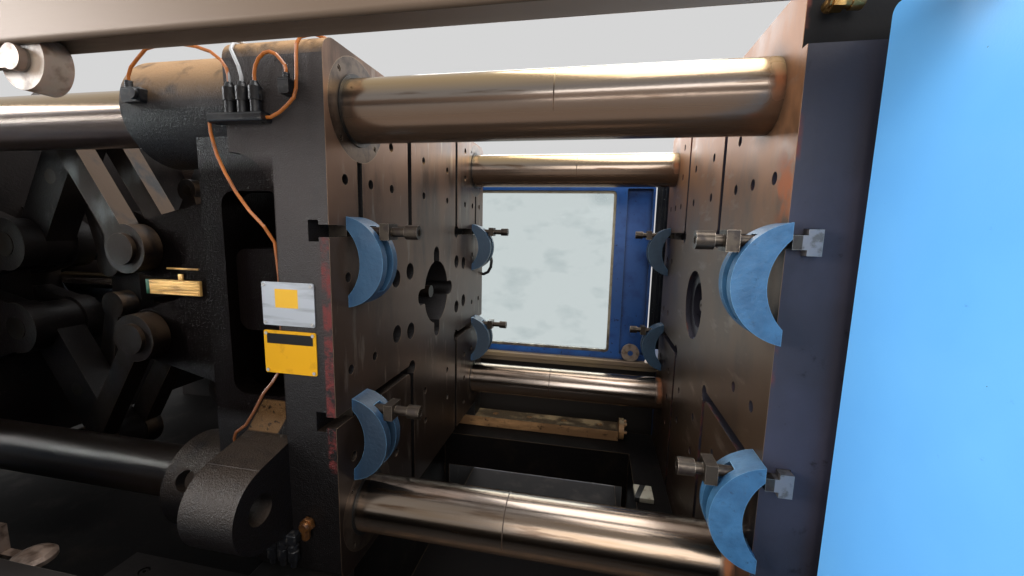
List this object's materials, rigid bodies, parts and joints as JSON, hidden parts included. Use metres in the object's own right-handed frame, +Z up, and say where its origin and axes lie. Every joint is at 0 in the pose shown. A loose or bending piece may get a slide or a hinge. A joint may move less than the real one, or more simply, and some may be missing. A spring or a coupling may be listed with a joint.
{
  "type": "injection moulding machine",
  "caption": "Horizontal toggle-clamp injection moulding machine with tie bars, platens, sliding guards and a reciprocating-screw unit on one welded bed.",
  "frame": {"origin": "middle of the machine's footprint, on the floor", "axes": "+X along the tie bars from the clamp end to the injection end, +Y to the rear gate, +Z up"},
  "size_m": [6.6, 1.78, 2.156],
  "materials": {
    "bed_paint": "dark blue-grey enamel, oily",
    "foot_steel": "cast iron with a blackened screw",
    "cover_blue": "pressed sheet in blue enamel",
    "way_steel": "ground steel under old beige grease",
    "platen_iron": "machined casting with brown oil film, painted sides",
    "casting_paint": "rough casting in dark grey-black paint, ground face",
    "tail_paint": "rough casting in dark paint",
    "bar_chrome": "ground and hard-chromed, oily",
    "nut_steel": "blackened steel",
    "clamp_blue": "forged steel in worn light blue paint",
    "bolt_steel": "blackened bolt steel, rubbed bright",
    "rail_steel": "drawn steel, dull grey-brown",
    "housing_blue": "sheet steel in sky blue powder coat",
    "housing_dark": "sheet steel in darker blue enamel",
    "panel_grey": "light grey control panel",
    "ground_steel": "ground steel, greased",
    "pin_steel": "ground pin steel",
    "cylinder_paint": "machined cylinder in dark enamel",
    "link_iron": "cast link, oily",
    "link_steel": "machined link bar with brown grease",
    "bush_bronze": "steel-backed bronze bush, dull",
    "seal_rubber": "black lip seal",
    "sensor_plastic": "black plug and block plastic",
    "cable_orange": "orange cable jacket",
    "plate_silver": "bare silver plate",
    "plate_yellow": "bare yellow plate",
    "hose_black": "black hose with plated ends",
    "window_clear": "clear polycarbonate window",
    "roller_nylon": "cream nylon",
    "seal_cream": "cream window seal",
    "rear_gate_blue": "aluminium profile in blue enamel",
    "barrel_steel": "nitrided barrel steel, heat-browned",
    "band_steel": "clamped sheet over a heater",
    "hopper_steel": "spun stainless sheet"
  },
  "bodies": {
    "bed": {"bed_frame": "bed_paint", "levelling_feet": "foot_steel", "lower_covers": "cover_blue", "guide_ways": "way_steel", "stationary_platen": "platen_iron", "tie_bars": "bar_chrome", "front_bar_nuts": "nut_steel", "fixed_clamps": "clamp_blue", "fixed_clamp_bolts": "bolt_steel", "gate_rails": "rail_steel", "front_housing": "housing_blue", "rear_housing": "housing_dark", "control_panel": "panel_grey", "carriage_rails": "ground_steel", "carriage_rods": "bar_chrome"},
    "tail": {"tail_platen": "tail_paint", "tail_bar_nuts": "nut_steel", "tail_pins": "pin_steel", "clamp_cylinder": "cylinder_paint", "crosshead_guides": "bar_chrome"},
    "crosshead": {"crosshead": "link_iron"},
    "platen": {"moving_platen": "casting_paint", "platen_bushes": "bush_bronze", "bar_seals": "seal_rubber", "moving_clamps": "clamp_blue", "moving_clamp_bolts": "bolt_steel", "slide_shoes": "nut_steel", "sensor_block": "sensor_plastic", "sensor_cables": "cable_orange", "data_plate": "plate_silver", "notice_plate": "plate_yellow", "ejector_cylinder": "cylinder_paint", "grease_hose": "hose_black"},
    "ejector": {"ejector_plate": "ground_steel"},
    "rear_link_upper": {"rear_links_upper": "link_iron", "knuckle_pins_upper": "pin_steel"},
    "rear_link_lower": {"rear_links_lower": "link_iron", "knuckle_pins_lower": "pin_steel"},
    "front_link_upper": {"front_links_upper": "link_steel"},
    "front_link_lower": {"front_links_lower": "link_steel"},
    "short_link_upper": {"short_links_upper": "link_steel"},
    "short_link_lower": {"short_links_lower": "link_steel"},
    "front_gate": {"front_gate": "housing_blue", "front_gate_window": "window_clear"},
    "front_roller_near": {"front_gate_roller_near": "roller_nylon"},
    "front_roller_far": {"front_gate_roller_far": "roller_nylon"},
    "rear_gate": {"rear_gate": "rear_gate_blue", "rear_gate_window": "window_clear", "rear_gate_seal": "seal_cream"},
    "rear_roller": {"rear_gate_roller": "roller_nylon"},
    "carriage": {"injection_carriage": "cylinder_paint", "barrel": "barrel_steel", "heater_bands": "band_steel", "hopper": "hopper_steel", "carriage_cylinders": "cylinder_paint"},
    "hopper_lid": {"hopper_lid": "hopper_steel"},
    "thrust": {"thrust_unit": "cylinder_paint"},
    "screw": {"screw": "ground_steel"}
  },
  "joints": [
    {"name": "die_height_slide", "type": "slide", "parent": "bed", "child": "tail", "axis": [1, 0, 0], "range_m": [0, 0.1]},
    {"name": "clamp_slide", "type": "slide", "parent": "tail", "child": "platen", "axis": [1, 0, 0], "range_m": [0, 0.4]},
    {"name": "crosshead_slide", "type": "slide", "parent": "tail", "child": "crosshead", "axis": [1, 0, 0], "range_m": [0, 0.3005]},
    {"name": "rear_link_upper_hinge", "type": "hinge", "parent": "tail", "child": "rear_link_upper", "pos_m": [-2.2, 0, 1.38], "axis": [0, 1, 0], "range_deg": [0, 48.2]},
    {"name": "rear_link_lower_hinge", "type": "hinge", "parent": "tail", "child": "rear_link_lower", "pos_m": [-2.2, 0, 1.12], "axis": [0, -1, 0], "range_deg": [0, 48.2]},
    {"name": "front_link_upper_hinge", "type": "hinge", "parent": "rear_link_upper", "child": "front_link_upper", "pos_m": [-1.98, 0, 1.75], "axis": [0, -1, 0], "range_deg": [0, 95.3]},
    {"name": "front_link_lower_hinge", "type": "hinge", "parent": "rear_link_lower", "child": "front_link_lower", "pos_m": [-1.98, 0, 0.75], "axis": [0, 1, 0], "range_deg": [0, 95.3]},
    {"name": "short_link_upper_hinge", "type": "hinge", "parent": "rear_link_upper", "child": "short_link_upper", "pos_m": [-2.0768, 0, 1.5872], "axis": [0, -1, 0], "range_deg": [0, 101.4]},
    {"name": "short_link_lower_hinge", "type": "hinge", "parent": "rear_link_lower", "child": "short_link_lower", "pos_m": [-2.0768, 0, 0.9128], "axis": [0, 1, 0], "range_deg": [0, 101.4]},
    {"name": "ejector_slide", "type": "slide", "parent": "platen", "child": "ejector", "axis": [1, 0, 0], "range_m": [0, 0.08]},
    {"name": "front_gate_slide", "type": "slide", "parent": "bed", "child": "front_gate", "axis": [1, 0, 0], "range_m": [0, 1.15]},
    {"name": "front_roller_near_spin", "type": "hinge", "parent": "front_gate", "child": "front_roller_near", "pos_m": [-1.285, -0.7695, 1.688], "axis": [0, 1, 0], "continuous": true},
    {"name": "front_roller_far_spin", "type": "hinge", "parent": "front_gate", "child": "front_roller_far", "pos_m": [-2.6, -0.7695, 1.688], "axis": [0, 1, 0], "continuous": true},
    {"name": "rear_gate_slide", "type": "slide", "parent": "bed", "child": "rear_gate", "axis": [-1, 0, 0], "range_m": [0, 0.65]},
    {"name": "rear_roller_spin", "type": "hinge", "parent": "rear_gate", "child": "rear_roller", "pos_m": [-0.26, 0.729, 0.8875], "axis": [0, 1, 0], "continuous": true},
    {"name": "carriage_slide", "type": "slide", "parent": "bed", "child": "carriage", "axis": [1, 0, 0], "range_m": [0, 0.35]},
    {"name": "hopper_lid_hinge", "type": "hinge", "parent": "carriage", "child": "hopper_lid", "pos_m": [1.932, 0, 2.1263], "axis": [0, 1, 0], "range_deg": [0, 100]},
    {"name": "injection_slide", "type": "slide", "parent": "carriage", "child": "thrust", "axis": [1, 0, 0], "range_m": [0, 0.2]},
    {"name": "screw_spin", "type": "hinge", "parent": "thrust", "child": "screw", "pos_m": [2.35, 0, 1.25], "axis": [1, 0, 0], "continuous": true}
  ],
  "couplings": [
    {"joint": "crosshead_slide", "follows": "clamp_slide", "ratio": 0.751},
    {"joint": "rear_link_upper_hinge", "follows": "clamp_slide", "rad_per_m": 2.0997},
    {"joint": "rear_link_lower_hinge", "follows": "clamp_slide", "rad_per_m": 2.0997},
    {"joint": "front_link_upper_hinge", "follows": "clamp_slide", "rad_per_m": 4.1557},
    {"joint": "front_link_lower_hinge", "follows": "clamp_slide", "rad_per_m": 4.1557},
    {"joint": "short_link_upper_hinge", "follows": "clamp_slide", "rad_per_m": 4.4205},
    {"joint": "short_link_lower_hinge", "follows": "clamp_slide", "rad_per_m": 4.4205}
  ]
}
